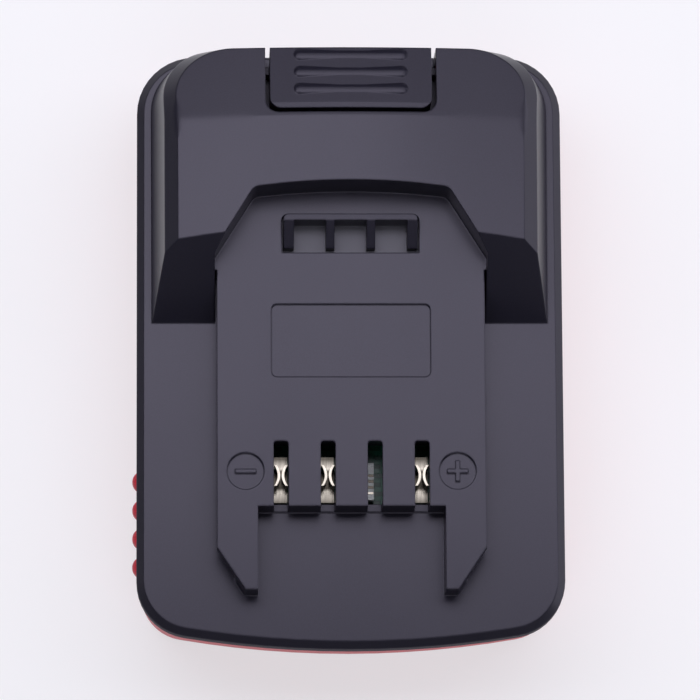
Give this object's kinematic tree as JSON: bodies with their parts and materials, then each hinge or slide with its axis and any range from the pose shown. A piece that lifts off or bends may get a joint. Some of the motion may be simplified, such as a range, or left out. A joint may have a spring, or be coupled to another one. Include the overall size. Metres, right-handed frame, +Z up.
{
  "type": "tool battery adapter",
  "caption": "Slide-on battery adapter: rail platform with terminal slots, sprung release button and catch above, battery bay with rail ledges and contact blades below.",
  "frame": {"origin": "middle of the footprint, on the surface that the adapter stands on", "axes": "+X across the adapter to the positive terminal, +Y along it to the release button, +Z up out of the rail platform"},
  "size_m": [0.0818, 0.1132, 0.0457],
  "materials": {
    "black_plastic": "fine satin moulded plastic",
    "red_plastic": "satin moulded plastic",
    "latch_plastic": "fine satin moulded plastic",
    "carrier_plastic": "matt moulded plastic",
    "spring_steel": "drawn wire",
    "nickel": "nickel-plated sheet",
    "tinned_blade": "tinned sheet",
    "screw_steel": "zinc-plated",
    "board_green": "solder mask over glass laminate",
    "pale_plastic": "moulded plastic",
    "component_black": "moulded package",
    "capacitor_can": "drawn can"
  },
  "bodies": {
    "housing": {"upper_housing": "black_plastic", "lower_housing": "red_plastic", "latch_spring_left": "spring_steel", "latch_spring_right": "spring_steel", "terminal_negative": "nickel", "terminal_sense": "nickel", "terminal_positive": "nickel", "circuit_board": "board_green", "sense_connector": "pale_plastic", "sense_contacts": "nickel", "board_transistors": "component_black", "board_capacitor": "capacitor_can", "blade_carrier": "carrier_plastic", "blade_negative": "tinned_blade", "blade_sense": "tinned_blade", "blade_positive": "tinned_blade", "housing_screws": "screw_steel", "board_screws": "screw_steel", "carrier_screws": "screw_steel"},
    "latch": {"release_latch": "latch_plastic"}
  },
  "joints": [
    {"name": "latch_press", "type": "slide", "parent": "housing", "child": "latch", "axis": [0, 0, -1], "range_m": [0, 0.004], "stiffness_N_per_m": 800, "springref_m": -0.003, "deforming": ["latch_spring_left", "latch_spring_right"]}
  ]
}
